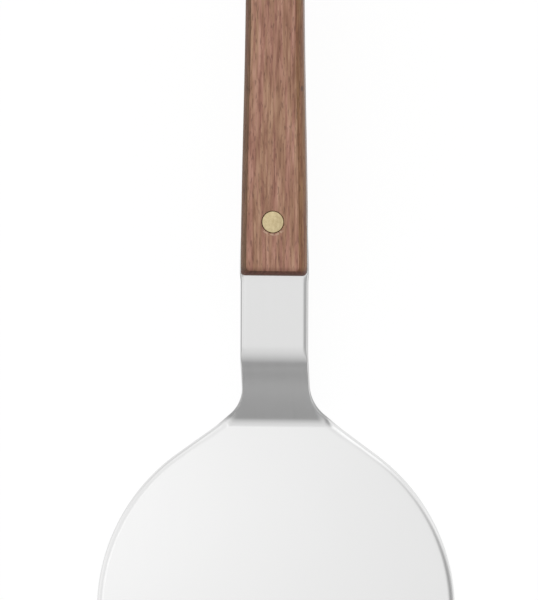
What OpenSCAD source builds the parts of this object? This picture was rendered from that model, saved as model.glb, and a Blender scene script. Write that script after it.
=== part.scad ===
// Teppanyaki turner: a wide round-backed steel blade on a cranked neck, with a riveted wooden handle.
// X runs across the blade, +Y from the blade's front edge to the butt of the handle, +Z up.
// The blade's underside lies on the plane Z = 0, and the origin is under the middle of the turner.

/* [Blade] */
// Width of the blade at its widest line
blade_w = 131; // [116:1:150]
// Length in front of the widest line, where the sides run straight
front_len = 50; // [30:1:70]
// Length of flat blade between the widest line and the lower bend
rear_len = 66; // [60:1:72]
// Radius of each curved side behind the widest line
side_r = 70; // [66:1:84]
// Angle between a straight shoulder and the centre line
shoulder_angle = 54; // [46:1:60]
// Radius of the fillet between a shoulder and the neck
neck_fillet_r = 14; // [8:1:22]
// Radius of the two front corners
corner_r = 14; // [4:1:24]
// Thickness of the steel sheet
sheet_t = 2; // [1.2:0.1:3]
// Width of the bevel ground on top of the front edge
bevel_w = 6; // [2:0.5:12]
// Thickness that the bevel leaves at the front edge
edge_t = 0.6; // [0.3:0.1:1]

/* [Crank and neck] */
// Slope of the drop between the two bends
drop_angle = 40; // [25:1:55]
// Length of the straight part of the drop
drop_len = 26; // [18:1:40]
// Inside radius of the lower bend, on the upper side of the sheet
lower_bend_r = 6.5; // [3:0.5:12]
// Inside radius of the upper bend, on the underside of the sheet
upper_bend_r = 9; // [3:0.5:14]
// Upward slope of the neck and the handle
handle_angle = 6; // [0:1:15]
// Width of the neck
neck_w = 24.6; // [18:0.2:25]
// Length of neck between the upper bend and the handle
neck_len = 26.2; // [14:0.2:50]

/* [Handle] */
// Length of the handle
handle_len = 140; // [130:1:170]
// Thickness of each wooden scale
scale_t = 7.5; // [5:0.5:11]
// Width of the wood at the front
handle_front_w = 24; // [22:0.5:30]
// Width of the wood at its waist
waist_w = 20.8; // [20:0.1:24]
// Distance of the waist from the butt
waist_from_butt = 28; // [24:1:50]
// Width of the wood at the butt
butt_w = 24.6; // [22:0.2:30]
// How far the flat face lies in from each side
face_inset = 2.6; // [1.5:0.1:4]
// Height of the upright flank beside the tang
flank_h = 2.5; // [0.5:0.5:4]
// Angle through which each side rounds over, so that less than 90 leaves a crisp edge round the flat face
round_over = 60; // [30:5:90]
// How far the front end slopes back
front_ease = 1.6; // [0.4:0.2:3]
// How far the butt end rounds over
butt_ease = 3; // [0.5:0.5:5]
// Corner radius at the front, seen from above
front_corner_r = 1.4; // [0.5:0.1:3]
// Corner radius at the butt, seen from above
butt_corner_r = 8; // [4:0.5:9]
// How far the tang stands out of the wood at the front
tang_proud = 0.3; // [0:0.05:0.6]
// Length over which the tang becomes flush with the wood
tang_flush_at = 30; // [10:1:60]

/* [Rivets] */
// Distance of the front rivet behind the front of the handle
front_rivet_at = 20; // [14:0.2:30]
// Distance from the rear rivet to the hanging hole behind it
rear_rivet_to_hole = 18.4; // [16:0.2:40]
// Diameter of a rivet head
rivet_head_d = 8; // [6:0.5:10]
// Thickness of a rivet head
rivet_head_t = 1.8; // [1:0.1:2.4]
// Small chamfer round a rivet head
rivet_chamfer = 0.2; // [0.1:0.05:0.4]
// Outside diameter of the hollow barrel
barrel_d = 4.8; // [4:0.1:5.4]
// Diameter of the solid shank in the barrel
shank_d = 3.2; // [2.4:0.1:3.4]
// Gap left beyond the end of the barrel and of the shank
rivet_end_gap = 0.6; // [0.3:0.1:1.5]
// Solid metal left between the barrel's bore and the head
barrel_web = 0.9; // [0.4:0.1:2]
// Radial gap between a head and its counterbore
head_gap = 0.35; // [0.1:0.05:0.6]
// Radial clearance of the barrel in its hole, and of the shank in the barrel
rivet_fit = 0.05; // [0.02:0.01:0.15]

/* [Hanging hole] */
// Distance of the hanging hole from the butt
hole_from_butt = 12; // [9:0.5:18]
// Diameter of the hanging hole
hole_d = 6; // [4:0.5:7]
// Wall of the brass tube that lines it
liner_wall = 1; // [0.5:0.1:1.5]
// Radial clearance of the tube in the wood and the tang
liner_fit = 0.05; // [0.02:0.01:0.15]

/* [Hidden] */
$fn = 96;

// Extra length of a cutting solid past the face that it cuts
through = 1;

// Blade outline: each curved side is an arc whose centre lies across the centre line
blade_len = front_len + rear_len;
arc_across = side_r - blade_w / 2;
shoulder_x = side_r * cos(shoulder_angle) - arc_across;
shoulder_y = front_len + side_r * sin(shoulder_angle);
fillet_x = neck_w / 2 + neck_fillet_r * (1 - cos(shoulder_angle));
fillet_y = shoulder_y + (shoulder_x - fillet_x) / tan(shoulder_angle);
neck_y = fillet_y + neck_fillet_r * sin(shoulder_angle);

// Centres of the two bends, and the underside of the sheet where the neck starts
lower_centre = [blade_len, sheet_t + lower_bend_r];
crest = lower_centre + (sheet_t + lower_bend_r) * [sin(drop_angle), -cos(drop_angle)]
    + drop_len * [cos(drop_angle), sin(drop_angle)];
upper_centre = crest + upper_bend_r * [sin(drop_angle), -cos(drop_angle)];
neck_start = upper_centre + upper_bend_r * [-sin(handle_angle), cos(handle_angle)];
tang_end = neck_start + (neck_len + handle_len + through) * [cos(handle_angle), sin(handle_angle)];
sheet_top = sheet_t * [-sin(handle_angle), cos(handle_angle)];
bend_steps = 10;

// The lowest corner of the butt's upright flank lies furthest back
total_len = neck_start[0] + (neck_len + handle_len) * cos(handle_angle) + flank_h * sin(handle_angle);

waist_at = handle_len - waist_from_butt;
hole_at = handle_len - hole_from_butt;
rivet_places = [front_rivet_at, hole_at - rear_rivet_to_hole];
handle_t = sheet_t + 2 * scale_t;
barrel_len = handle_t - 2 * rivet_head_t - rivet_end_gap;
barrel_bore_len = barrel_len - barrel_web;
rivet_hole_d = barrel_d + 2 * rivet_fit;
liner_d = hole_d + 2 * liner_wall;
liner_hole_d = liner_d + 2 * liner_fit;

// Handle outline: half the wood's width at a distance behind the front, with its rounded corners
function blend(t) = let (c = min(max(t, 0), 1)) c * c * (3 - 2 * c);
function mix(a, b, t) = a + (b - a) * t;
function plain_half_w(u) = u < waist_at
    ? mix(handle_front_w, waist_w, blend(u / waist_at)) / 2
    : mix(waist_w, butt_w, blend((u - waist_at) / waist_from_butt)) / 2;
function corner_cut(r, to_end) = to_end < r ? r - sqrt(r * r - (r - to_end) * (r - to_end)) : 0;
function wood_half_w(u) = plain_half_w(u) - corner_cut(front_corner_r, u)
    - corner_cut(butt_corner_r, handle_len - u);
function tang_half_w(u) = plain_half_w(u) - corner_cut(butt_corner_r, handle_len - u)
    + tang_proud * (1 - blend(u / tang_flush_at));

// Distance from the blade's front edge to a place on the tang's middle plane, seen from above
function tang_y(u) = neck_start[0] + (neck_len + u) * cos(handle_angle) + sheet_top[0] / 2;

// Stations along the handle, closer together at its two rounded ends
corner_steps = 6;
long_steps = 16;
stations = concat(
    [for (i = [0 : corner_steps - 1]) front_corner_r * (1 - cos(90 * i / corner_steps))],
    [for (i = [0 : long_steps - 1]) mix(front_corner_r, handle_len - butt_corner_r, i / long_steps)],
    [for (i = [0 : corner_steps]) handle_len - butt_corner_r * (1 - sin(90 * i / corner_steps))]);
last_station = len(stations) - 1;

// One layer of a scale: its outline drawn in towards the flat face, at a height above the tang
round_steps = 6;
function layer_point(u, side, inset) = [
    side * wood_half_w(u) * (1 - inset * face_inset / plain_half_w(u)),
    u + inset * mix(front_ease, -butt_ease, u / handle_len)];
function layer(z, inset) = concat(
    [for (i = [0 : last_station]) concat(layer_point(stations[i], 1, inset), z)],
    [for (i = [last_station : -1 : 0]) concat(layer_point(stations[i], -1, inset), z)]);

// The upright flank, and then part of an ellipse up to the flat face
scale_layers = concat([layer(0, 0)], [for (i = [0 : round_steps]) let (a = round_over * i / round_steps)
    layer(flank_h + (scale_t - flank_h) * sin(a) / sin(round_over), (1 - cos(a)) / (1 - cos(round_over)))]);

function arc(centre, r, from, to) = [for (i = [0 : bend_steps])
    let (a = mix(from, to, i / bend_steps)) centre + r * [cos(a), sin(a)]];

// The sheet seen from the side: bevelled blade, lower bend, drop, upper bend, neck and tang
module side_profile() {
    polygon(concat(
        [[0, 0], [0, edge_t], [bevel_w, sheet_t]],
        arc(lower_centre, lower_bend_r, -90, drop_angle - 90),
        arc(upper_centre, upper_bend_r + sheet_t, 90 + drop_angle, 90 + handle_angle),
        [tang_end + sheet_top, tang_end],
        arc(upper_centre, upper_bend_r, 90 + handle_angle, 90 + drop_angle),
        arc(lower_centre, lower_bend_r + sheet_t, drop_angle - 90, -90)));
}

// The sheet seen from above: straight front with round corners, curved sides, shoulders, neck and tang
module sheet_outline() {
    translate([corner_r - blade_w / 2, 0]) square([blade_w - 2 * corner_r, front_len]);
    translate([-blade_w / 2, corner_r]) square([blade_w, front_len - corner_r]);
    for (side = [-1, 1]) translate([side * (blade_w / 2 - corner_r), corner_r]) circle(corner_r);
    intersection() {
        translate([-arc_across, front_len]) circle(side_r);
        translate([arc_across, front_len]) circle(side_r);
        translate([-blade_w / 2, corner_r]) square([blade_w, shoulder_y - corner_r]);
    }
    polygon([[-shoulder_x, front_len], [shoulder_x, front_len], [shoulder_x, shoulder_y],
        [fillet_x, fillet_y], [-fillet_x, fillet_y], [-shoulder_x, shoulder_y]]);
    difference() {
        translate([-fillet_x, front_len]) square([2 * fillet_x, neck_y - front_len]);
        for (side = [-1, 1])
            translate([side * (neck_w / 2 + neck_fillet_r), neck_y]) circle(neck_fillet_r);
    }
    translate([-neck_w / 2, front_len]) square([neck_w, tang_y(front_rivet_at) - front_len]);
    polygon(concat(
        [for (i = [0 : last_station]) [tang_half_w(stations[i]), tang_y(stations[i])]],
        [for (i = [last_station : -1 : 0]) [-tang_half_w(stations[i]), tang_y(stations[i])]]));
}

// Moves what it holds to the handle: Y runs back from its front, and Z up from the tang's underside
module on_handle() {
    translate([0, neck_start[0], neck_start[1]])
        rotate([handle_angle, 0, 0])
        translate([0, neck_len, 0])
        children();
}

// Drills for the two rivets and the liner, through a thickness that starts at Z = 0
module handle_holes(thickness) {
    for (at = rivet_places)
        translate([0, at, -through]) cylinder(d = rivet_hole_d, h = thickness + 2 * through);
    translate([0, hole_at, -through]) cylinder(d = liner_hole_d, h = thickness + 2 * through);
}

// The stamped and bent sheet: blade, drop, neck and tang
module blade_and_tang() {
    color("lightgray") difference() {
        intersection() {
            linear_extrude(tang_end[1] + sheet_t + through) sheet_outline();
            rotate([90, 0, 90]) linear_extrude(blade_w + 2 * through, center = true) side_profile();
        }
        on_handle() handle_holes(sheet_t);
    }
}

// One wooden scale, lying on Z = 0 with its flat face on top, without its holes
module scale_blank() {
    count = len(scale_layers[0]);
    top = len(scale_layers) - 1;
    polyhedron(
        points = [for (ring = scale_layers) for (p = ring) p],
        faces = concat(
            [[for (i = [0 : count - 1]) i]],
            [for (k = [0 : top - 1]) for (i = [0 : count - 1]) let (j = (i + 1) % count)
                [k * count + i, (k + 1) * count + i, (k + 1) * count + j, k * count + j]],
            [[for (i = [count - 1 : -1 : 0]) top * count + i]]));
}

// A wooden scale with its rivet holes, counterbores and hanging hole
module wooden_scale() {
    difference() {
        scale_blank();
        handle_holes(scale_t);
        for (at = rivet_places)
            translate([0, at, scale_t - rivet_head_t])
                cylinder(d = rivet_head_d + 2 * head_gap, h = rivet_head_t + through);
    }
}

module upper_scale() {
    color("rosybrown") on_handle() translate([0, 0, sheet_t]) wooden_scale();
}

module lower_scale() {
    color("rosybrown") on_handle() mirror([0, 0, 1]) wooden_scale();
}

// Half section of a rivet's head and stem, with the head's outer face at Z = 0 and the rest below
module rivet_section(stem_d, stem_len) {
    polygon([[0, 0], [rivet_head_d / 2 - rivet_chamfer, 0], [rivet_head_d / 2, -rivet_chamfer],
        [rivet_head_d / 2, -rivet_head_t], [stem_d / 2, -rivet_head_t],
        [stem_d / 2, -rivet_head_t - stem_len], [0, -rivet_head_t - stem_len]]);
}

// Upper half of a rivet: a head with a hollow barrel that passes through the tang
module rivet_female(at) {
    color("khaki") on_handle() translate([0, at, sheet_t + scale_t]) difference() {
        rotate_extrude() rivet_section(barrel_d, barrel_len);
        translate([0, 0, -rivet_head_t - barrel_len - through])
            cylinder(d = shank_d + 2 * rivet_fit, h = barrel_bore_len + through);
    }
}

// Lower half of a rivet: a head with a solid shank that is driven up into the barrel
module rivet_male(at) {
    color("khaki") on_handle() translate([0, at, -scale_t]) mirror([0, 0, 1])
        rotate_extrude() rivet_section(shank_d, barrel_bore_len);
}

module front_rivet_female() {
    rivet_female(rivet_places[0]);
}

module front_rivet_male() {
    rivet_male(rivet_places[0]);
}

module rear_rivet_female() {
    rivet_female(rivet_places[1]);
}

module rear_rivet_male() {
    rivet_male(rivet_places[1]);
}

// Brass tube through both scales and the tang
module hanging_hole_liner() {
    color("khaki") on_handle() translate([0, hole_at, -scale_t]) difference() {
        cylinder(d = liner_d, h = handle_t);
        translate([0, 0, -through]) cylinder(d = hole_d, h = handle_t + 2 * through);
    }
}

// Puts the origin under the middle of the turner's length
module centred() {
    translate([0, -total_len / 2, 0]) children();
}

centred() blade_and_tang();
centred() upper_scale();
centred() lower_scale();
centred() front_rivet_female();
centred() front_rivet_male();
centred() rear_rivet_female();
centred() rear_rivet_male();
centred() hanging_hole_liner();
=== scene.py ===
"""Teppanyaki turner: a crank-necked steel blade with a riveted wooden handle.

All sizes are in millimetres, as they would be on a workshop drawing, and are made metres with mm where a
piece, a pattern or a light needs them. Pieces of the handle are made lying along +Y from the front of the
handle, with the underside of the tang at Z = 0, and are then laid in place.
"""
import math

import bmesh
import bpy
from mathutils import Matrix, Vector


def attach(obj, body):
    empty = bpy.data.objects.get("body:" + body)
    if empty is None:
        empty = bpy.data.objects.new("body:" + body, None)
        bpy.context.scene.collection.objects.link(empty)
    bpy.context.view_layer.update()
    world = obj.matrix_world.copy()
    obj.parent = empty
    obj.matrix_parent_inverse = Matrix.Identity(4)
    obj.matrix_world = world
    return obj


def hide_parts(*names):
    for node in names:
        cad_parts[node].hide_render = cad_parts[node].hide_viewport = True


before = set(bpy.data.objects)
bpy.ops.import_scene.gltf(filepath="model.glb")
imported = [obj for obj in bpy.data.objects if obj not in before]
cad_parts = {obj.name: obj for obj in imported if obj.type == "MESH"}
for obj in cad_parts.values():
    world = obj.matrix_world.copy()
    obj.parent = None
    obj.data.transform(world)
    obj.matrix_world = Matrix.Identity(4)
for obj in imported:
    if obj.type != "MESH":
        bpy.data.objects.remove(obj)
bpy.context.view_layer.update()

# Steel sheet
# One piece of 2 mm stainless sheet, from the wide round-backed blade over the cranked drop to the tang. It is
# stamped out, ground thin at the front, tumbled until its edges are soft, brushed lengthwise, and folded.

# One millimetre in the frame, which is in metres
mm = 0.001

# The blank
sheet_t = 2
blade_w = 131
front_len = 50
rear_len = 66
side_r = 70
shoulder_angle = math.radians(54)
neck_fillet_r = 14
front_corner_r = 14
grind_w = 6
grind_edge_t = 0.6

# The two folds
fold_at = 116.5
drop_angle = math.radians(39.94)
drop_len = 26.6
lower_bend_r = 5
upper_bend_r = 9
drop_hollow = 0.22
handle_angle = math.radians(6)
neck_w = 24.6
neck_len = 26.2

# The tang, which has the outline of the handle
handle_len = 140
handle_front_w = 24
waist_w = 20.8
waist_from_butt = 28
butt_w = 24.6
butt_corner_r = 8
tang_proud = 0.5
tang_flush_at = 26
tang_blend = 3

# Soft edges: how far they reach in from the outline, and how deep they cut, on the upper side
front_edge = (0.35, 0.3)
side_edge = (2.35, 1.8)
fold_edge = (2.9, 1.8)
drop_edge = (0.6, 0.5)
neck_edge = (1.9, 1.8)
tang_edge = (0.35, 0.35)
under_edge_r = 0.2

# How far one soft edge takes to become the next at the folds and at the tang, and how far past the first
# fold the edge of the drop begins
fold_ease = 6
past_fold = 2
tang_ease = 1

blade_len = front_len + rear_len
arc_across = side_r - blade_w / 2
shoulder_x = side_r * math.cos(shoulder_angle) - arc_across
shoulder_y = front_len + side_r * math.sin(shoulder_angle)
fillet_x = neck_w / 2 + neck_fillet_r * (1 - math.cos(shoulder_angle))
fillet_y = shoulder_y + (shoulder_x - fillet_x) / math.tan(shoulder_angle)
neck_y = fillet_y + neck_fillet_r * math.sin(shoulder_angle)

# Distances along the middle of the sheet, from the front edge, before it is folded
lower_bend_mid_r = lower_bend_r + sheet_t / 2
upper_bend_mid_r = upper_bend_r + sheet_t / 2
drop_at = fold_at + lower_bend_mid_r * drop_angle
upper_bend_at = drop_at + drop_len
neck_at = upper_bend_at + upper_bend_mid_r * (drop_angle - handle_angle)
tang_at = neck_at + neck_len
sheet_len = tang_at + handle_len


def smooth(t):
    """0 before 0, 1 after 1, and a smooth rise between them."""
    c = min(max(t, 0), 1)
    return c * c * (3 - 2 * c)


def mix(a, b, t):
    """A number between two, at a share t of the way from the first to the second."""
    return a + (b - a) * t


def corner_cut(r, to_end):
    """What a rounded corner takes off the width, at a distance from the end."""
    return r - math.sqrt(r * r - (r - max(to_end, 0)) ** 2) if to_end < r else 0


def handle_half_w(u):
    """Half the handle's width at a distance behind its front, with its waist and its swelled butt."""
    waist_at = handle_len - waist_from_butt
    if u < waist_at:
        return mix(handle_front_w, waist_w, smooth(u / waist_at)) / 2
    return mix(waist_w, butt_w, smooth((u - waist_at) / waist_from_butt)) / 2


# Where the folded sheet's middle runs, seen from the side
drop_foot = Vector((fold_at + lower_bend_mid_r * math.sin(drop_angle),
                    lower_bend_mid_r * (1 - math.cos(drop_angle))))
crest = drop_foot + drop_len * Vector((math.cos(drop_angle), math.sin(drop_angle)))
neck_foot = crest + upper_bend_mid_r * Vector((math.sin(drop_angle) - math.sin(handle_angle),
                                               math.cos(handle_angle) - math.cos(drop_angle)))


def seen_from_above(s):
    """Distance behind the front edge, seen from above once folded, of a place on the blank."""
    if s < fold_at:
        return s
    if s < drop_at:
        return fold_at + lower_bend_mid_r * math.sin((s - fold_at) / lower_bend_mid_r)
    if s < upper_bend_at:
        return drop_foot.x + (s - drop_at) * math.cos(drop_angle)
    if s < neck_at:
        slope = drop_angle - (s - upper_bend_at) / upper_bend_mid_r
        return crest.x + upper_bend_mid_r * (math.sin(drop_angle) - math.sin(slope))
    return neck_foot.x + (s - neck_at) * math.cos(handle_angle)


def sheet_half_w(s):
    """Half the sheet's width at a distance along the blank, behind its front corners."""
    u = s - tang_at
    if u > 0:
        proud = tang_proud * (1 - smooth(u / tang_flush_at))
        return handle_half_w(u) + proud - corner_cut(butt_corner_r, handle_len - u)
    y = seen_from_above(s)
    if y < front_len:
        return blade_w / 2
    if y < shoulder_y:
        return math.sqrt(side_r ** 2 - (y - front_len) ** 2) - arc_across
    if y < fillet_y:
        return mix(shoulder_x, fillet_x, (y - shoulder_y) / (fillet_y - shoulder_y))
    if y < neck_y:
        return neck_w / 2 + neck_fillet_r - math.sqrt(neck_fillet_r ** 2 - (neck_y - y) ** 2)
    return mix(neck_w / 2, handle_front_w / 2 + tang_proud, smooth(1 + u / tang_blend))


def spread(start, end, step):
    """Evenly spaced numbers from start up to, but without, end."""
    count = max(1, math.ceil((end - start) / step))
    return [mix(start, end, i / count) for i in range(count)]


def quarter_turn(steps):
    """Angles from 0 to 90 degrees, in even steps."""
    return [math.radians(90 * i / steps) for i in range(steps + 1)]


# The right side of the outline, from the front edge to the end of the tang. The stretches behind its rounded
# corner give how far apart the points lie, up to the end of each. The last point lies a hair inside the end.
front_corner_steps = 36
butt_corner_steps = 12
corner_lead = 1
shoulder_lead = 4
end_margin = 1e-6
stretches = ((front_len, 2), (shoulder_y - shoulder_lead, 1), (fold_at, 0.5), (drop_at, 0.18),
             (upper_bend_at, 0.5), (neck_at, 0.25), (tang_at - tang_blend, 1), (tang_at + tang_blend, 0.25),
             (sheet_len - butt_corner_r, 1.5))
outline = [Vector((blade_w / 2 - front_corner_r * (1 - math.sin(a)), front_corner_r * (1 - math.cos(a))))
           for a in quarter_turn(front_corner_steps)]
places = []
start = front_corner_r + corner_lead
for end, step in stretches:
    places += spread(start, end, step)
    start = end
places += [sheet_len - butt_corner_r * (1 - math.sin(a)) for a in quarter_turn(butt_corner_steps)[:-1]]
places.append(sheet_len - end_margin)
outline += [Vector((sheet_half_w(s), s)) for s in places]

# Which way the outline faces at each of its points
outward = []
for i, point in enumerate(outline):
    run = outline[min(i + 1, len(outline) - 1)] - outline[max(i - 1, 0)]
    outward.append(Vector((run.y, -run.x)).normalized())
outward[0] = Vector((0, -1))
outward[-1] = Vector((0, 1))


def soft_edge(s):
    """Reach and depth of the upper edge's rounding at a distance along the blank."""
    changes = ((side_edge, 0, front_corner_r), (fold_edge, fold_at - fold_ease, fold_at),
               (drop_edge, fold_at + past_fold, drop_at + fold_ease),
               (neck_edge, upper_bend_at, neck_at - tang_ease),
               (tang_edge, tang_at - tang_ease, tang_at + tang_ease))
    reach, depth = front_edge
    for edge, start, end in changes:
        t = smooth((s - start) / (end - start))
        reach, depth = mix(reach, edge[0], t), mix(depth, edge[1], t)
    return reach, depth


def sheet_top(s):
    """Height of the upper face above the middle of the sheet, lower where the front edge is ground."""
    return mix(grind_edge_t, sheet_t, min(max(s, 0) / grind_w, 1)) - sheet_t / 2


# How finely the edges are rounded, and the flat strip beside the rounding. Painted shade, with a little
# dullness, comes in over a short stretch behind the fold, and round each side's edge between the two angles
# of its band.
rim_steps = 14
under_steps = 3
flat_margin = 0.3
shade_ease = 5
right_shade_band = (math.radians(48), math.radians(90))
left_shade_band = (math.radians(36), math.radians(60))


def edge_shading(s, a, shade_band):
    """How much painted shade, with some dullness, the edge gets: none on the tumbled blade, and most on the
    sheet's side.
    """
    return smooth((s - fold_at) / shade_ease) * smooth((a - shade_band[0]) / (shade_band[1] - shade_band[0]))


def rim(point, away, shade_band):
    """The edge of the sheet at one point of its outline, from the upper face round to the under face.

    Each of its points is its place across, its place along, its height, and how much painted shade and
    dullness it has.
    """
    reach, depth = soft_edge(point.y)
    thin = (sheet_top(point.y) + sheet_t / 2) / sheet_t
    depth, under_r = depth * thin, under_edge_r * thin
    x, s = point - away * (reach + flat_margin)
    ring = [(x, s, sheet_top(s), 0)]
    for a in quarter_turn(rim_steps):
        x, s = point - away * reach * (1 - math.sin(a))
        ring.append((x, s, sheet_top(s) - depth * (1 - math.cos(a)), edge_shading(s, a, shade_band)))
    for a in quarter_turn(under_steps):
        x, s = point - away * under_r * (1 - math.cos(a))
        h = -sheet_t / 2 + under_r * (1 - math.sin(a))
        ring.append((x, s, h, edge_shading(s, math.pi / 2 - a, shade_band)))
    x, s = point - away * (under_r + flat_margin)
    return ring + [(x, s, -sheet_t / 2, 0)]


# Columns of points across the sheet, and one ring of points round the edge for each place on the outline
columns = 16
right_rims = [rim(p, n, right_shade_band) for p, n in zip(outline, outward)]
left_rims = [rim(p, n, left_shade_band) for p, n in zip(outline, outward)]
blank = bmesh.new()
edge_shade_layer = blank.verts.layers.float.new("edge_shade_and_dullness")


def edge_point(x, s, h, edge_shade):
    """A point of the blank that knows how much painted shade and dullness the edge has there."""
    vert = blank.verts.new((x, s, h))
    vert[edge_shade_layer] = edge_shade
    return vert


def row(end, right_end, left_end):
    """Points across the sheet, from its right end to the mirror image of that on the left."""
    x, s, h = end[:3]
    inner = [blank.verts.new((x * (1 - 2 * k / columns), s, h)) for k in range(1, columns)]
    return [right_end] + inner + [left_end]


right = [[edge_point(*p) for p in ring] for ring in right_rims]
left = [[edge_point(-x, s, h, edge_shade) for x, s, h, edge_shade in ring] for ring in left_rims]
upper = [row(ring[0], a[0], b[0]) for ring, a, b in zip(right_rims, right, left)]
under = [row(ring[-1], a[-1], b[-1]) for ring, a, b in zip(right_rims, right, left)]
for i in range(len(outline) - 1):
    for k in range(columns):
        blank.faces.new((upper[i][k], upper[i + 1][k], upper[i + 1][k + 1], upper[i][k + 1]))
        blank.faces.new((under[i][k + 1], under[i + 1][k + 1], under[i + 1][k], under[i][k]))
    for j in range(len(right[0]) - 1):
        blank.faces.new((right[i][j], right[i][j + 1], right[i + 1][j + 1], right[i + 1][j]))
        blank.faces.new((left[i + 1][j], left[i + 1][j + 1], left[i][j + 1], left[i][j]))

# The front edge and the end of the tang are closed by rings between the two sides
for end, flip in ((0, False), (-1, True)):
    rings = [right[end]]
    for k in range(1, columns):
        ring = [upper[end][k]]
        for x, s, h, edge_shade in right_rims[end][1:-1]:
            ring.append(edge_point(x * (1 - 2 * k / columns), s, h, edge_shade))
        rings.append(ring + [under[end][k]])
    rings.append(left[end])
    for a, b in zip(rings, rings[1:]):
        for j in range(len(a) - 1):
            face = (a[j], b[j], b[j + 1], a[j + 1])
            blank.faces.new(face[::-1] if flip else face)
bmesh.ops.recalc_face_normals(blank, faces=blank.faces)
blank_mesh = bpy.data.meshes.new("steel_sheet")
blank.to_mesh(blank_mesh)
blank.free()
sheet = bpy.data.objects.new("steel_sheet", blank_mesh)
bpy.context.scene.collection.objects.link(sheet)

# The tang is drilled for the rivets' barrels and for the tube in the hanging hole
front_rivet_at = 20
rear_rivet_to_hole = 18.4
hole_from_butt = 12
barrel_d = 4.8
rivet_fit = 0.05
hole_d = 6
liner_wall = 1
liner_fit = 0.05
drill_sides = 72
hole_at = handle_len - hole_from_butt
rivet_places = (front_rivet_at, hole_at - rear_rivet_to_hole)
barrel_hole_d = barrel_d + 2 * rivet_fit
liner_hole_d = hole_d + 2 * liner_wall + 2 * liner_fit


def drill(obj, holes):
    """Cuts round holes: each is its place along the piece, its diameter, and the two heights of the cut."""
    for u, diameter, low, high in holes:
        bit = bmesh.new()
        bmesh.ops.create_cone(bit, cap_ends=True, segments=drill_sides, radius1=diameter / 2,
                              radius2=diameter / 2, depth=high - low,
                              matrix=Matrix.Translation((0, u, (low + high) / 2)))
        bit_mesh = bpy.data.meshes.new("bit")
        bit.to_mesh(bit_mesh)
        bit.free()
        cutter = bpy.data.objects.new("bit", bit_mesh)
        bpy.context.scene.collection.objects.link(cutter)
        cut = obj.modifiers.new("drill", "BOOLEAN")
        cut.object = cutter
        cut.solver = "EXACT"
        bpy.context.view_layer.update()
        drilled = bpy.data.meshes.new_from_object(obj.evaluated_get(bpy.context.evaluated_depsgraph_get()))
        obj.modifiers.clear()
        obj.data = drilled
        bpy.data.objects.remove(cutter)
    obj.data.name = obj.name


drill(sheet, [(tang_at + u, barrel_hole_d, -sheet_t, sheet_t) for u in rivet_places]
      + [(tang_at + hole_at, liner_hole_d, -sheet_t, sheet_t)])


class Wire:
    """A value in a node tree, on which sums are written as in plain Python."""

    def __init__(self, tree, socket=None):
        self.tree = tree
        self.socket = socket

    def node(self, kind, inputs=(), out=0, stops=None, **settings):
        """Adds a node of any kind, first its settings and then its inputs, and returns one of its outputs."""
        made = self.tree.nodes.new(kind)
        for name, value in settings.items():
            setattr(made, name, value)
        if stops:
            ramp = made.color_ramp.elements
            while len(ramp) < len(stops):
                ramp.new(0.5)
            for stop, (place, colour) in zip(ramp, stops):
                stop.position = place
                stop.color = (*colour, 1)
        for name, value in dict(inputs).items():
            if isinstance(value, Wire):
                self.tree.links.new(value.socket, made.inputs[name])
            else:
                made.inputs[name].default_value = value
        return Wire(self.tree, made.outputs[out])

    def other(self, out):
        """Another output of the node that this value comes from."""
        return Wire(self.tree, self.socket.node.outputs[out])

    def math(self, operation, *values, clamp=False):
        """Adds a Math node that does this operation on these values."""
        return self.node("ShaderNodeMath", dict(enumerate(values)), operation=operation, use_clamp=clamp)

    def __add__(self, b):
        return self.math("ADD", self, b)

    def __radd__(self, a):
        return self.math("ADD", a, self)

    def __sub__(self, b):
        return self.math("SUBTRACT", self, b)

    def __rsub__(self, a):
        return self.math("SUBTRACT", a, self)

    def __mul__(self, b):
        return self.math("MULTIPLY", self, b)

    def __rmul__(self, a):
        return self.math("MULTIPLY", a, self)

    def __truediv__(self, b):
        return self.math("DIVIDE", self, b)

    def __rtruediv__(self, a):
        return self.math("DIVIDE", a, self)

    def between(self, low, high):
        """0 where the value is below low, 1 where it is above high, and smooth between them."""
        return self.node("ShaderNodeMapRange", {"Value": self, "From Min": low, "From Max": high},
                         interpolation_type="SMOOTHSTEP")


def new_shape_tree(name, sizes):
    """A Geometry Nodes tree with named sizes in metres. Returns the tree, its geometry and its sizes."""
    tree = bpy.data.node_groups.new(name, "GeometryNodeTree")
    tree.interface.new_socket("Geometry", in_out="INPUT", socket_type="NodeSocketGeometry")
    for size, value in sizes.items():
        tree.interface.new_socket(size, in_out="INPUT", socket_type="NodeSocketFloat").default_value = value
    tree.interface.new_socket("Geometry", in_out="OUTPUT", socket_type="NodeSocketGeometry")
    entry = tree.nodes.new("NodeGroupInput")
    return tree, Wire(tree, entry.outputs[0]), {size: Wire(tree, entry.outputs[size]) for size in sizes}


def finish_shape(obj, tree, geometry, sizes, material):
    """Ends the tree, runs it on the object with these sizes, and leaves its result as a plain mesh."""
    shape = geometry.node("GeometryNodeRealizeInstances", {0: geometry})
    shape = shape.node("GeometryNodeSetMaterial", {"Geometry": shape, "Material": material})
    tree.links.new(shape.socket, tree.nodes.new("NodeGroupOutput").inputs[0])
    modifier = obj.modifiers.new(tree.name, "NODES")
    modifier.node_group = tree
    for item in tree.interface.items_tree:
        if item.in_out == "INPUT" and item.name in sizes:
            modifier[item.identifier] = float(sizes[item.name])
    bpy.context.view_layer.update()
    shaped = bpy.data.meshes.new_from_object(obj.evaluated_get(bpy.context.evaluated_depsgraph_get()))
    obj.modifiers.clear()
    obj.data = shaped
    shaped.name = obj.name


def new_material(name):
    """A material with one Principled shader. Returns the material, a wire to start from and the shader."""
    material = bpy.data.materials.new(name)
    material.use_nodes = True
    tree = material.node_tree
    tree.nodes.clear()
    shader = tree.nodes.new("ShaderNodeBsdfPrincipled")
    tree.links.new(shader.outputs[0], tree.nodes.new("ShaderNodeOutputMaterial").inputs[0])
    return material, Wire(tree), shader


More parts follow.
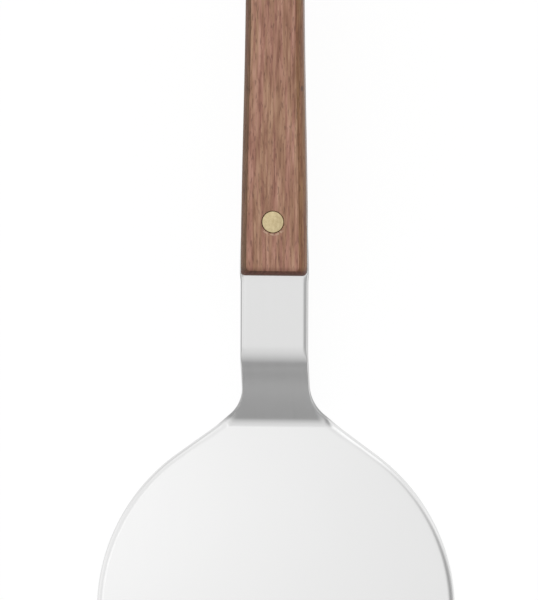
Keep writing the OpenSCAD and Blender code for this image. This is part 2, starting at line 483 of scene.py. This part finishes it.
def feed(shader, **values):
    """Sets or links the shader's sockets, where Base_Color stands for Base Color."""
    for name, value in values.items():
        socket = shader.inputs[name.replace("_", " ")]
        if isinstance(value, Wire):
            value.tree.links.new(value.socket, socket)
        else:
            socket.default_value = value


# Brushed stainless steel: fine lines along the sheet, in the colour, the gloss and the relief, and painted
# shade on the outer rims behind the fold, where they are also rougher. Most of a noise's values lie in
# noise_band.
steel_colour = (0.80, 0.80, 0.80)
steel_shade = (0.785, 0.785, 0.783)
# Dark grey painted onto the outer rims behind the fold, as painted shade
painted_edge_shade = (0.34, 0.34, 0.34)
brush_line = (0.35, 45)
fine_brush_line = (0.12, 20)
clouds_per_metre = 14.0
brush_share = 0.7
fine_share = 0.5
brush_depth = 0.004
steel_roughness = 0.2
brush_roughness = 0.07
sheared_roughness = 0.15
noise_band = (0.34, 0.66)
brush_shift = Vector((1, 0.37, 0))
steel, steel_net, steel_shader = new_material("brushed_steel")
place = steel_net.node("ShaderNodeTexCoord", out="Object")


def brush_lines(width, length, detail, seed):
    """Noise drawn out along the sheet, in lines of that width and length. The seed moves it elsewhere."""
    scale = (1 / (width * mm), 1 / (length * mm), 1 / (length * mm))
    stretched = steel_net.node("ShaderNodeMapping", {"Vector": place, "Location": brush_shift * seed,
                                                     "Scale": scale})
    return steel_net.node("ShaderNodeTexNoise", {"Vector": stretched, "Scale": 1.0, "Detail": detail})


brushing = brush_lines(*brush_line, detail=3, seed=3)
fine_brushing = brush_lines(*fine_brush_line, detail=2, seed=11)
cloud = steel_net.node("ShaderNodeTexNoise", {"Vector": place, "Scale": clouds_per_metre, "Detail": 2.0})
shade = (brushing * brush_share + cloud * (1 - brush_share)).between(*noise_band)
brushed = steel_net.node("ShaderNodeMix",
                         {"Factor": shade, "A": (*steel_shade, 1), "B": (*steel_colour, 1)},
                         out="Result", data_type="RGBA")
# How much painted shade, with some added roughness, each point of the rims has
edge_shade_and_dullness = steel_net.node("ShaderNodeAttribute", out="Fac", attribute_name="edge_shade_and_dullness")
scratches = brushing * (1 - fine_share) + fine_brushing * fine_share
feed(steel_shader, Metallic=1.0, IOR=1.5,
     Base_Color=steel_net.node("ShaderNodeMix", {"Factor": edge_shade_and_dullness, "A": brushed, "B": (*painted_edge_shade, 1)},
                               out="Result", data_type="RGBA"),
     Roughness=steel_roughness + brush_roughness * brushing + sheared_roughness * edge_shade_and_dullness,
     Normal=steel_net.node("ShaderNodeBump", {"Height": scratches, "Strength": 0.3,
                                              "Distance": brush_depth * mm}))

# The blank is folded: the upper bend first, and then the lower bend with all that is behind it
fold_sizes = {"Drop angle": drop_angle, "Neck angle": handle_angle, "Lower bend at": fold_at * mm,
              "Drop length": drop_len * mm, "Lower bend radius": lower_bend_mid_r * mm,
              "Upper bend radius": upper_bend_mid_r * mm, "Drop hollow": drop_hollow * mm,
              "Sheet thickness": sheet_t * mm}
tree, shape, size = new_shape_tree("fold_the_sheet", fold_sizes)


def fold(along, height, start, radius, angle):
    """Folds the sheet upwards by an angle, about a line across it. The radius is that of its middle."""
    turn = along.math("MINIMUM", along.math("MAXIMUM", (along - start) / radius, 0.0), angle)
    arm = radius - height
    past = along.math("MAXIMUM", along - start - radius * angle, 0.0)
    before = along.math("MINIMUM", along, start)
    new_along = before + arm * turn.math("SINE", turn) + past * turn.math("COSINE", angle)
    new_height = height + arm * (1 - turn.math("COSINE", turn)) + past * turn.math("SINE", angle)
    return new_along, new_height


# The drop is pressed slightly hollow first. Then the sheet is turned over for the upper bend, which goes
# down, and turned back for the lower one.
parts = shape.node("ShaderNodeSeparateXYZ", {0: shape.node("GeometryNodeInputPosition")})
across, along, height = parts, parts.other(1), parts.other(2)
drop_start = size["Lower bend at"] + size["Lower bend radius"] * size["Drop angle"]
up_drop = along.math("DIVIDE", along - drop_start, size["Drop length"], clamp=True)
hollow = up_drop.math("SINE", up_drop * up_drop * math.pi)
height = height - size["Drop hollow"] * hollow * hollow
upper_start = drop_start + size["Drop length"]
upper_turn = size["Drop angle"] - size["Neck angle"]
along, height = fold(along, -1 * height, upper_start, size["Upper bend radius"], upper_turn)
along, height = fold(along, -1 * height, size["Lower bend at"], size["Lower bend radius"], size["Drop angle"])
folded = across.node("ShaderNodeCombineXYZ", {0: across, 1: along, 2: height + size["Sheet thickness"] / 2})
shape = shape.node("GeometryNodeSetPosition", {"Geometry": shape, "Position": folded})
sheet.data.transform(Matrix.Scale(mm, 4))
finish_shape(sheet, tree, shape, fold_sizes, steel)

# Everything moves back by half the length, to the middle of the turner. It is longest at the butt, where the
# straight side of the lower scale, flank_h high, has its foot.
flank_h = 2.5
total_len = (neck_foot.x + sheet_t / 2 * math.sin(handle_angle)
             + (neck_len + handle_len) * math.cos(handle_angle) + flank_h * math.sin(handle_angle))
sheet.data.transform(Matrix.Translation((0, -total_len / 2 * mm, 0)))


def finish_piece(obj, slot, *nodes, crisp=32):
    """Shades the piece smooth but for corners over crisp degrees, hangs it on the root body and hides the CAD
    nodes it stands in for. The slot is not used.
    """
    obj.data.shade_smooth()
    obj.data.set_sharp_from_angle(angle=math.radians(crisp))
    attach(obj, "root")
    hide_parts(*nodes)


finish_piece(sheet, "steel", "blade_and_tang")

# Wooden scales
# Two slabs of oiled, pinkish-brown hardwood, one on each side of the tang, sanded flat on their outer faces,
# rounded along their sides and eased at the front. They are drilled for the two rivets and the hanging hole.
scale_t = 7.5
face_inset = 2.6
round_over = math.radians(60)
front_ease = 2.3
butt_ease = 3
wood_corner_r = 1.4
sanded = 0.03
rivet_head_d = 8
rivet_head_t = 1.8
head_gap = 0.12
overcut = 1
wood_corner_steps = 9
wood_butt_steps = 18
round_steps = 14
station_step = 2.5


def wood_half_w(u):
    """Half the wood's width, with its rounded corners and what the last sanding takes off."""
    corners = corner_cut(wood_corner_r, u) + corner_cut(butt_corner_r, handle_len - u)
    return handle_half_w(u) - corners - sanded


# Stations along a scale, and its layers from the tang outwards, with how far each has drawn in, from 0 to 1
stations = ([wood_corner_r * (1 - math.cos(a)) for a in quarter_turn(wood_corner_steps)[:-1]]
            + spread(wood_corner_r, handle_len - butt_corner_r, station_step)
            + [handle_len - butt_corner_r * (1 - math.sin(a)) for a in quarter_turn(wood_butt_steps)])
layers = [(0, 0)]
for i in range(round_steps + 1):
    a = round_over * i / round_steps
    layers.append((flank_h + (scale_t - flank_h) * math.sin(a) / math.sin(round_over),
                   (1 - math.cos(a)) / (1 - math.cos(round_over))))


def scale_blank(name):
    """One scale lying on Z = 0 with its flat face on top, before it is drilled."""
    wood = bmesh.new()
    rings = []
    for z, inset in layers:
        ring = []
        for side, order in ((1, stations), (-1, stations[::-1])):
            for u in order:
                x = side * wood_half_w(u) * (1 - inset * face_inset / handle_half_w(u))
                ease = mix(front_ease * inset, -butt_ease * inset - sanded, u / handle_len)
                ring.append(wood.verts.new((x, u + ease, z)))
        rings.append(ring)
    count = len(rings[0])
    for lower_ring, upper_ring in zip(rings, rings[1:]):
        for i in range(count):
            j = (i + 1) % count
            wood.faces.new((lower_ring[i], lower_ring[j], upper_ring[j], upper_ring[i]))
    for ring, order in ((rings[0], -1), (rings[-1], 1)):
        for i in range(len(stations) - 1):
            a, b = i, count - 1 - i
            wood.faces.new((ring[a], ring[a + 1], ring[b - 1], ring[b])[::order])
    bmesh.ops.recalc_face_normals(wood, faces=wood.faces)
    mesh = bpy.data.meshes.new(name)
    wood.to_mesh(mesh)
    wood.free()
    obj = bpy.data.objects.new(name, mesh)
    bpy.context.scene.collection.objects.link(obj)
    return obj


# Pinkish-brown close-grained wood with short pores. The rounded sides are painted darker than the sanded
# faces as painted shade, more so on the left, and the end grain at the front is darker still, from its own
# darker tone and painted shade.
wood_light = (0.540, 0.304, 0.213)
wood_mid = (0.396, 0.200, 0.131)
wood_dark = (0.266, 0.117, 0.074)
pink_cast = (1.03, 0.975, 1.05)
olive_cast = (0.97, 1.02, 0.94)
# Painted shade on the rounded sides, darker on the left, and darker end grain with painted shade at the front
left_side_shade = (0.40, 0.38, 0.295)
right_side_shade = (0.70, 0.66, 0.49)
end_grain_and_shade = (0.46, 0.37, 0.34)
wood_pore = (0.110, 0.055, 0.040)
# Pale colour of the patches at the front rim of the front counterbore
pale_rim_colour = (0.56, 0.38, 0.27)

# Widths and lengths of the marks in the grain, which way a seed moves them, between which values of the
# noise pores and the pale rim patches show, and how much each mark counts
figure_mark = (5.5, 90)
streak_mark = (1.7, 30)
thread_mark = (0.8, 10)
pore_mark = (0.42, 2.8)
blush_mark = (1.5, 30)
pale_rim_mark = (0.7, 0.7)
grain_shift = Vector((1, 0.71, 1.3))
pore_band = (0.58, 0.70)
pale_rim_band = (0.42, 0.58)
figure_share = 0.08
streak_share = 0.22
thread_share = 0.70
pore_strength = 0.45
wood_roughness = 0.46
thread_roughness = 0.16
pore_roughness = 0.15
pore_relief = 0.6
wood_relief = 0.12
wood, wood_net, wood_shader = new_material("oiled_wood")
handle_front = Vector((0, (neck_foot.x + neck_len * math.cos(handle_angle)
                           + sheet_t / 2 * math.sin(handle_angle) - total_len / 2) * mm,
                       (sheet_t / 2 + neck_foot.y + neck_len * math.sin(handle_angle)
                        - sheet_t / 2 * math.cos(handle_angle)) * mm))
place = wood_net.node("ShaderNodeMapping", {"Vector": wood_net.node("ShaderNodeTexCoord", out="Object"),
                                            "Location": handle_front, "Rotation": (handle_angle, 0, 0)},
                      vector_type="TEXTURE")


def grain(width, length, detail, seed):
    """Noise drawn out along the handle, in marks of that width and length. The seed moves it elsewhere."""
    scale = (1 / (width * mm), 1 / (length * mm), 1 / (width * mm))
    stretched = wood_net.node("ShaderNodeMapping", {"Vector": place, "Location": grain_shift * seed,
                                                    "Scale": scale})
    return wood_net.node("ShaderNodeTexNoise", {"Vector": stretched, "Scale": 1.0, "Detail": detail,
                                                "Roughness": 0.55})


def tint(factor, a, b, blend="MIX"):
    """A colour between two, which are numbers or wires."""
    a, b = (c if isinstance(c, Wire) else (*c, 1) for c in (a, b))
    return wood_net.node("ShaderNodeMix", {"Factor": factor, "A": a, "B": b}, out="Result",
                         data_type="RGBA", blend_type=blend)


figure = grain(*figure_mark, detail=1, seed=1)
streaks = grain(*streak_mark, detail=0, seed=5)
threads = grain(*thread_mark, detail=1, seed=9)
pores = grain(*pore_mark, detail=1, seed=17).between(*pore_band)
blush = grain(*blush_mark, detail=1, seed=23).between(*noise_band)
depth = figure * figure_share + streaks * streak_share + threads * thread_share
colour = wood_net.node("ShaderNodeValToRGB", {"Fac": depth},
                       stops=((0.31, wood_dark), (0.50, wood_mid), (0.69, wood_light)))
colour = tint(1.0, colour, tint(blush, olive_cast, pink_cast), "MULTIPLY")
colour = tint(pores * pore_strength, colour, wood_pore)

# The painted shade of the sides starts a hair below the flat faces and covers the sides and the ends. The end
# grain's tone, with its painted shade, fades out round the eased front edge, and a weaker painted shade runs
# on from there over the face.
face_h = scale_t + sheet_t / 2
side_shade_from = 0.02
side_shade_full = 0.2
side_shade_blend = 3
end_grain_before = 0.6
end_grain_past = 0.1
dark_run = 1.7
dark_strength = 0.6
spot = wood_net.node("ShaderNodeSeparateXYZ", {0: place})
across_handle, along_handle, up_handle = spot, spot.other(1), spot.other(2)
from_tang = spot.math("ABSOLUTE", up_handle - sheet_t / 2 * mm)
# Where the painted shade of the sides and ends lies
shaded_sides = 1 - from_tang.between((face_h - side_shade_full) * mm, (face_h - side_shade_from) * mm)
painted_side_shade = tint(across_handle.between(-side_shade_blend * mm, side_shade_blend * mm), left_side_shade, right_side_shade)
front = 1 - along_handle.between((front_ease - end_grain_before) * mm, (front_ease + end_grain_past) * mm)
colour = tint(shaded_sides, colour, tint(front, painted_side_shade, end_grain_and_shade), "MULTIPLY")
# A weaker painted shade over the face just behind the front edge
darkened = 1 - along_handle.between(front_ease * mm, (front_ease + dark_run) * mm)
colour = tint(darkened * dark_strength, colour, end_grain_and_shade, "MULTIPLY")


def from_spot(centre, reach):
    """0 at a spot on the handle, and 1 where the reach from it ends."""
    centre, reach = Vector(centre) * mm, Vector(reach) * mm
    away = wood_net.node("ShaderNodeVectorMath", {0: place, 1: centre}, operation="SUBTRACT")
    away = wood_net.node("ShaderNodeVectorMath", {0: away, 1: reach}, operation="DIVIDE")
    return wood_net.node("ShaderNodeVectorMath", {0: away}, out="Value", operation="LENGTH")


# A pin knot on the right side, and pale patches at the front rim of the front counterbore.
# Their ring is given by distances from the rivet's middle, to which height hardly adds, and it ends level
# with the given end on the handle.
knot_at = (10.3, 68.4, 7.2)
knot_size = (0.6, 1.3, 1.3)
knot_fade = (0.4, 1.2)
knot_strength = 0.85
pale_rim_reach = (1, 1, 100)
pale_rim_from = (4.1, 4.25)
pale_rim_to = (4.6, 5.4)
pale_rim_end = (16.3, 17.5)
knot = 1 - from_spot(knot_at, knot_size).between(*knot_fade)
colour = tint(knot * knot_strength, colour, wood_pore)
from_rivet = from_spot((0, front_rivet_at, scale_t + sheet_t), pale_rim_reach)
pale_rim = from_rivet.between(*pale_rim_from) * (1 - from_rivet.between(*pale_rim_to))
pale_rim = pale_rim * (1 - along_handle.between(pale_rim_end[0] * mm, pale_rim_end[1] * mm))
pale_rim = pale_rim * grain(*pale_rim_mark, detail=1, seed=31).between(*pale_rim_band)
colour = tint(pale_rim, colour, pale_rim_colour)
relief = (1 - pores) * pore_relief + threads * (1 - pore_relief)
feed(wood_shader, Base_Color=colour, IOR=1.45,
     Roughness=wood_roughness + thread_roughness * threads + pore_roughness * pores,
     Normal=wood_net.node("ShaderNodeBump", {"Height": relief, "Strength": 0.5,
                                             "Distance": wood_relief * mm}))

in_place = Matrix.Translation(handle_front) @ Matrix.Rotation(handle_angle, 4, "X") @ Matrix.Scale(mm, 4)
head_hole_d = rivet_head_d + 2 * head_gap
wood_holes = [(u, head_hole_d, scale_t - rivet_head_t, scale_t + overcut) for u in rivet_places]
wood_holes += [(u, barrel_hole_d, -overcut, scale_t) for u in rivet_places]
wood_holes += [(hole_at, liner_hole_d, -overcut, scale_t + overcut)]
lays = {"upper_scale": Matrix.Translation((0, 0, sheet_t)), "lower_scale": Matrix.Scale(-1, 4, (0, 0, 1))}
for name, lay in lays.items():
    piece = scale_blank(name + "_wood")
    drill(piece, wood_holes)
    piece.data.transform(in_place @ lay)
    if name == "lower_scale":
        piece.data.flip_normals()
    piece.data.materials.append(wood)
    finish_piece(piece, "wood", name, crisp=25)

# Rivets
# Two brass cutler's rivets clamp the scales to the tang. Each has an upper head with a hollow barrel, and a
# lower head with a shank driven up into it. The heads are turned, very slightly domed, with faint tool rings.
rivet_chamfer = 0.2
rivet_crown = 0.12
crown_rings = 5
head_sides = 64
shank_d = 3.2
rivet_end_gap = 0.6
barrel_web = 0.9
weld_gap = 1e-4
handle_t = sheet_t + 2 * scale_t
barrel_len = handle_t - 2 * rivet_head_t - rivet_end_gap

# Turned brass: rings ring_pitch apart, wavy where the metal is mottled
brass_light = (0.76, 0.64, 0.39)
brass_mid = (0.55, 0.44, 0.25)
ring_pitch = 0.24166
ring_wave = 5
mottles_per_metre = 900.0
mottle_share = 0.75
mottle_relief = 0.6
tone_band = (0.3, 0.7)
brass_roughness = 0.3
mottle_roughness = 0.12
ring_depth = 0.02
brass, brass_net, brass_shader = new_material("turned_brass")
from_centre = brass_net.node("ShaderNodeAttribute", out="Vector", attribute_name="from_centre")
spot = brass_net.node("ShaderNodeSeparateXYZ", {0: from_centre})
out_from_axis = spot.math("SQRT", spot * spot + spot.other(1) * spot.other(1))
mottle = brass_net.node("ShaderNodeTexNoise", {"Vector": from_centre, "Scale": mottles_per_metre,
                                               "Detail": 3.0})
turns = out_from_axis * (2 * math.pi / (ring_pitch * mm)) + mottle * ring_wave
marks = turns.math("SINE", turns) * 0.5 + 0.5
tone = (mottle * mottle_share + marks * (1 - mottle_share)).between(*tone_band)
relief = marks * (1 - mottle_relief) + mottle * mottle_relief
feed(brass_shader, Metallic=1.0,
     Base_Color=brass_net.node("ShaderNodeMix",
                               {"Factor": tone, "A": (*brass_mid, 1), "B": (*brass_light, 1)},
                               out="Result", data_type="RGBA"),
     Roughness=brass_roughness + mottle_roughness * mottle,
     Normal=brass_net.node("ShaderNodeBump", {"Height": relief, "Strength": 0.3,
                                              "Distance": ring_depth * mm}))

rivet_sizes = {"Head diameter": rivet_head_d, "Head thickness": rivet_head_t, "Head chamfer": rivet_chamfer,
               "Crown": rivet_crown, "Barrel diameter": barrel_d, "Barrel length": barrel_len,
               "Bore depth": barrel_len - barrel_web, "Shank diameter": shank_d, "Shank fit": rivet_fit,
               "Handle thickness": handle_t, "Scale thickness": scale_t, "Front rivet at": rivet_places[0],
               "Rear rivet at": rivet_places[1]}
rivet_sizes = {name: value * mm for name, value in rivet_sizes.items()}
tree, shape, size = new_shape_tree("set_the_rivets", rivet_sizes)


def turned(disc_radius, steps, downwards=False):
    """Half of a turned solid: a disc at Z = 0, drawn out by (rise, new radius) steps along the axis."""
    disc = shape.node("GeometryNodeMeshCircle", {"Vertices": head_sides, "Radius": disc_radius},
                      fill_type="NGON")
    if downwards:
        disc = disc.node("GeometryNodeFlipFaces", {0: disc})
    end, radius = None, disc_radius
    for rise, new_radius in steps:
        drawn = {"Mesh": disc, "Offset Scale": rise, "Individual": False}
        if end:
            drawn["Selection"] = end
        disc = disc.node("GeometryNodeExtrudeMesh", drawn, mode="FACES")
        end = disc.other("Top")
        disc = disc.node("GeometryNodeScaleElements", {"Geometry": disc, "Selection": end,
                                                       "Scale": new_radius / radius}, domain="FACE")
        radius = new_radius
    return disc


def from_middle(solid):
    """Stores each point's place, so that the turned rings stay centred once the piece is set."""
    return solid.node("GeometryNodeStoreNamedAttribute",
                      {"Geometry": solid, "Name": "from_centre",
                       "Value": solid.node("GeometryNodeInputPosition")},
                      data_type="FLOAT_VECTOR", domain="POINT")


def rivet_half(stem_d, stem_len, bore_d=None, bore_depth=None):
    """A head with its outer face at the top and its stem below, as one closed solid."""
    head_r = size["Head diameter"] / 2
    rim_r = head_r - size["Head chamfer"]
    straight = size["Head thickness"] - size["Head chamfer"] - size["Crown"]
    crown_steps = [(size["Crown"] * ((2 * k + 1) / crown_rings ** 2), rim_r * (k / crown_rings))
                   for k in range(crown_rings - 1, 0, -1)]
    head = turned(head_r, [(straight, head_r), (size["Head chamfer"], rim_r)] + crown_steps)
    stem_steps = [(0.0, stem_d / 2), (stem_len, stem_d / 2)]
    if bore_d:
        stem_steps += [(0.0, bore_d / 2), (-1 * bore_depth, bore_d / 2)]
    stem = turned(head_r, stem_steps, downwards=True)
    join = shape.node("GeometryNodeJoinGeometry")
    for half in (stem, head):
        tree.links.new(half.socket, join.socket.node.inputs[0])
    return from_middle(join.node("GeometryNodeMergeByDistance", {"Geometry": join,
                                                                 "Distance": weld_gap * mm}))


female = rivet_half(size["Barrel diameter"], size["Barrel length"],
                    size["Shank diameter"] + 2 * size["Shank fit"], size["Bore depth"])
male = rivet_half(size["Shank diameter"], size["Bore depth"])
between = size["Rear rivet at"] - size["Front rivet at"]
top_seat = size["Handle thickness"] - size["Scale thickness"] - size["Head thickness"]
low_seat = size["Head thickness"] - size["Scale thickness"]
join = shape.node("GeometryNodeJoinGeometry")
for half, seat, turn in ((female, top_seat, 0), (male, low_seat, math.pi)):
    first = shape.node("ShaderNodeCombineXYZ", {1: size["Front rivet at"], 2: seat})
    step = shape.node("ShaderNodeCombineXYZ", {1: between})
    spots = shape.node("GeometryNodeMeshLine", {"Count": 2, "Start Location": first, "Offset": step})
    placed = shape.node("GeometryNodeInstanceOnPoints", {"Points": spots, "Instance": half,
                                                         "Rotation": (0, turn, 0)})
    tree.links.new(placed.socket, join.socket.node.inputs[0])
rivets = bpy.data.objects.new("rivets", bpy.data.meshes.new("rivets"))
bpy.context.scene.collection.objects.link(rivets)
finish_shape(rivets, tree, join, rivet_sizes, brass)
rivets.data.transform(in_place @ Matrix.Scale(1 / mm, 4))
finish_piece(rivets, "brass", "front_rivet_female", "front_rivet_male", "rear_rivet_female",
             "rear_rivet_male")

# Hanging hole liner
# A short brass tube pressed through both scales and the tang near the butt, cut flush with the wood and
# with its lips broken, so that the turner can hang on a hook.
lip_r = 0.22
lip_steps = 4
tube_sides = 72
liner_sizes = {"Hole diameter": hole_d * mm, "Wall": liner_wall * mm, "Length": handle_t * mm,
               "Lip radius": lip_r * mm}
tree, shape, size = new_shape_tree("bend_the_tube", liner_sizes)
middle_r = size["Hole diameter"] / 2 + size["Wall"] / 2
path = shape.node("GeometryNodeCurvePrimitiveCircle", {"Resolution": tube_sides, "Radius": middle_r},
                  mode="RADIUS")
wall = shape.node("GeometryNodeCurvePrimitiveQuadrilateral",
                  {"Width": size["Wall"], "Height": size["Length"]})
wall = wall.node("GeometryNodeFilletCurve", {"Curve": wall, "Radius": size["Lip radius"], "Count": lip_steps,
                                             "Limit Radius": True}, mode="POLY")
tube = from_middle(path.node("GeometryNodeCurveToMesh", {"Curve": path, "Profile Curve": wall}))
liner = bpy.data.objects.new("hanging_hole_liner_tube", bpy.data.meshes.new("hanging_hole_liner_tube"))
bpy.context.scene.collection.objects.link(liner)
finish_shape(liner, tree, tube, liner_sizes, brass)
liner.data.transform(in_place @ Matrix.Translation((0, hole_at, sheet_t / 2)) @ Matrix.Scale(1 / mm, 4))
finish_piece(liner, "brass", "hanging_hole_liner")

# The studio
# A pale floor that the blade rests on, and a large soft light all round it: bright overhead and towards the
# handle, and dimmer low down, in front and on the right, as in the photograph.
floor_reach = 12000
floor_gap = 0.05
paper_colour = (0.8, 0.8, 0.8)
glow_share = 0.88
glow_level = 1.05
floor_mesh = bpy.data.meshes.new("floor")
floor_mesh.from_pydata([(x * floor_reach * mm, y * floor_reach * mm, -floor_gap * mm)
                        for x, y in ((-1, -1), (1, -1), (1, 1), (-1, 1))], [], [(0, 1, 2, 3)])
floor = bpy.data.objects.new("floor", floor_mesh)
bpy.context.scene.collection.objects.link(floor)
paper = bpy.data.materials.new("white_paper")
paper.use_nodes = True
paper_net = Wire(paper.node_tree)
paper.node_tree.nodes.clear()
rays = paper_net.node("ShaderNodeLightPath")
seen = rays.math("MAXIMUM", rays.other("Is Glossy Ray"), rays.other("Is Transmission Ray"))
seen = rays.math("MAXIMUM", rays, seen)
plain = paper_net.node("ShaderNodeBsdfDiffuse", {"Color": (*paper_colour, 1)})
glowing = paper_net.node("ShaderNodeEmission", {"Color": (1, 1, 1, 1), "Strength": glow_level})
pale = paper_net.node("ShaderNodeMixShader", {0: glow_share, 1: plain, 2: glowing})
shown = paper_net.node("ShaderNodeMixShader", {0: seen, 1: plain, 2: pale})
paper_out = paper.node_tree.nodes.new("ShaderNodeOutputMaterial")
paper.node_tree.links.new(shown.socket, paper_out.inputs[0])
floor.data.materials.append(paper)

# Brightness of the light, where 1 is white: behind and above the turner with what each patch adds or takes,
# and then in front of it
back_level = 1.073
overhead_drop = 0.149
left_gain = 0.096
right_drop = 0.62
low_right_gain = 0.204
over_handle_gain = 0.496
low_back_drop = 0.28
zenith_gain = 0.07
front_level = 0.295
front_rise = 0.65
front_low_drop = 0.5
front_low_below = 0.25
turning_drop = 0.16
least_level = 0.1
side_narrowing = 0.9

world = bpy.data.worlds.new("soft_light")
bpy.context.scene.world = world
world.use_nodes = True
world.node_tree.nodes.clear()
sky = Wire(world.node_tree)
way = sky.node("ShaderNodeSeparateXYZ", {0: sky.node("ShaderNodeTexCoord", out="Generated")})
right_way, back_way, up_way = way, way.other(1), way.other(2)
sideways = right_way.math("ABSOLUTE", right_way)

# Where each patch lies: it fades in between two shares of a direction that runs right, back or up
on_right = right_way.between(-0.15, 0.75) * (1 - back_way.between(0.161, 0.472))
low_on_right = right_way.between(0.301, 0.501) * (1 - up_way.between(0.323, 0.774))
over_handle = (back_way - side_narrowing * sideways).between(0.1, 0.35) * up_way.between(0.3, 0.7)
low_behind = back_way.between(0.35, 0.7) * (1 - up_way.between(0.35, 0.65))
at_zenith = up_way.between(0.94, 1.0)
facing = (-1 * back_way).between(-0.076, 0.718)

behind = back_level - overhead_drop * up_way - left_gain * right_way.math("MINIMUM", right_way, 0.0)
behind = behind - right_drop * on_right + low_right_gain * low_on_right
behind = behind + over_handle_gain * over_handle - low_back_drop * low_behind
in_front = front_level + front_rise * up_way
in_front = in_front - front_low_drop * up_way.math("MAXIMUM", front_low_below - up_way, 0.0)
level = behind + facing * (in_front - behind - turning_drop * (1 - facing)) + zenith_gain * at_zenith
level = level.math("MAXIMUM", level, least_level)
to_camera = sky.node("ShaderNodeLightPath", out="Is Camera Ray")
level = level + to_camera * (1 - level)
glow = sky.node("ShaderNodeBackground", {"Color": (1, 1, 1, 1), "Strength": level})
world.node_tree.links.new(glow.socket, world.node_tree.nodes.new("ShaderNodeOutputWorld").inputs[0])

# A soft box hangs high on the left of the blade. A lamp of white_watts a square metre is as bright as white.
box_from = Vector((-648, -132)) * mm
box_to = Vector((-114, -45)) * mm
box_height = 1382 * mm
box_level = 0.80
white_watts = 4
box = bpy.data.lights.new("soft_box", "AREA")
box.shape = "RECTANGLE"
box.size, box.size_y = box_to - box_from
box.energy = white_watts * box_level * box.size * box.size_y
soft_box = bpy.data.objects.new("soft_box", box)
soft_box.location = (*((box_from + box_to) / 2), box_height)
soft_box.visible_camera = False
bpy.context.scene.collection.objects.link(soft_box)

# The camera
# It looks down on the turner from a little to its right, through a long lens, with the handle at the top.
# It is aimed at the floor under the neck, a little to the left.
mm_per_pixel = 0.365
picture_h = 600
lens = 650
sensor = 36
lean = math.radians(4.27)
yaw = math.radians(0.62)
aim_left = 3.68
aim_behind_blade = 46.967
aim = Vector((-aim_left, blade_len - total_len / 2 + aim_behind_blade, 0)) * mm
distance = picture_h * mm_per_pixel * mm / 2 / (sensor / 2 / lens)
back = Vector((math.sin(lean), 0, math.cos(lean)))
flat_right = Vector((math.cos(lean), 0, -math.sin(lean)))
picture_right = math.cos(yaw) * flat_right + math.sin(yaw) * Vector((0, 1, 0))
picture_up = -math.sin(yaw) * flat_right + math.cos(yaw) * Vector((0, 1, 0))
camera = bpy.data.objects.new("camera", bpy.data.cameras.new("camera"))
bpy.context.scene.collection.objects.link(camera)
camera.data.lens = lens
camera.data.sensor_width = sensor
camera.data.clip_start = 0.1
camera.data.clip_end = 30
turn = Matrix((picture_right, picture_up, back)).transposed().to_4x4()
camera.matrix_world = Matrix.Translation(aim + back * distance) @ turn
bpy.context.scene.camera = camera
bpy.context.scene.view_settings.view_transform = "Standard"
